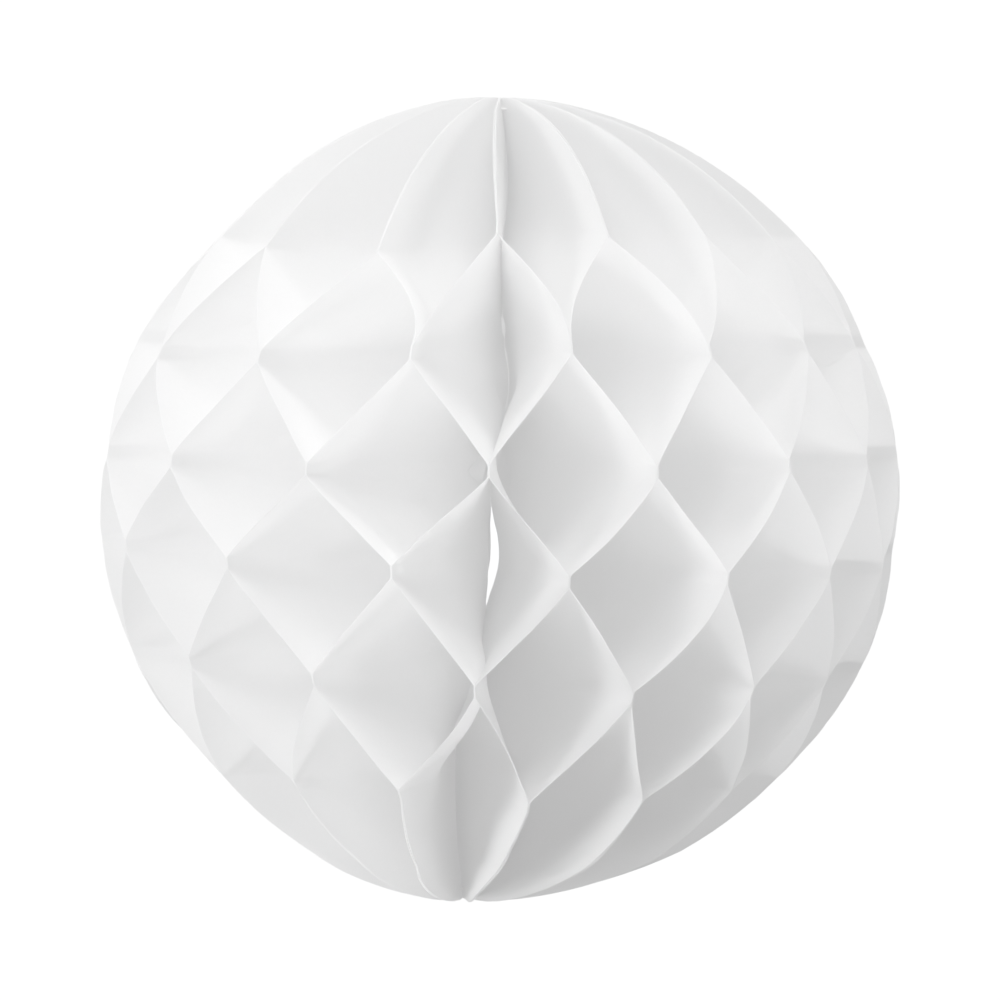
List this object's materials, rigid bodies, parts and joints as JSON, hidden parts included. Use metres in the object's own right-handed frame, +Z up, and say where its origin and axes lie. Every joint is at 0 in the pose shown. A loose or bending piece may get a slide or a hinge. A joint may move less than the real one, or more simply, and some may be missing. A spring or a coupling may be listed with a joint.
{
  "type": "honeycomb paper ball",
  "caption": "White honeycomb paper ball: half-disc paper leaves glued along alternating lines and fanned round an upright spine into diamond cells, tied at both poles, hung as a decoration.",
  "frame": {"origin": "middle of the ball, the centre of its bounding box", "axes": "+Z up along the spine towards the pole that it hangs from, -Y the side seen in the picture, +X to the right of it"},
  "size_m": [0.1, 0.0998, 0.1006],
  "materials": {
    "paper": "matte white uncoated paper, slightly translucent",
    "thread": "white cotton sewing thread"
  },
  "bodies": {
    "root": {"paper_leaf_01": "paper", "paper_leaf_02": "paper", "paper_leaf_03": "paper", "paper_leaf_04": "paper", "paper_leaf_05": "paper", "paper_leaf_06": "paper", "paper_leaf_07": "paper", "paper_leaf_08": "paper", "paper_leaf_09": "paper", "paper_leaf_10": "paper", "paper_leaf_11": "paper", "paper_leaf_12": "paper", "paper_leaf_13": "paper", "paper_leaf_14": "paper", "paper_leaf_15": "paper", "paper_leaf_16": "paper", "paper_leaf_17": "paper", "paper_leaf_18": "paper", "paper_leaf_19": "paper", "paper_leaf_20": "paper", "paper_leaf_21": "paper", "paper_leaf_22": "paper", "paper_leaf_23": "paper", "paper_leaf_24": "paper", "paper_leaf_25": "paper", "paper_leaf_26": "paper", "paper_leaf_27": "paper", "paper_leaf_28": "paper", "paper_leaf_29": "paper", "paper_leaf_30": "paper", "paper_leaf_31": "paper", "paper_leaf_32": "paper", "top_thread_tie": "thread", "bottom_thread_tie": "thread"}
  },
  "joints": []
}
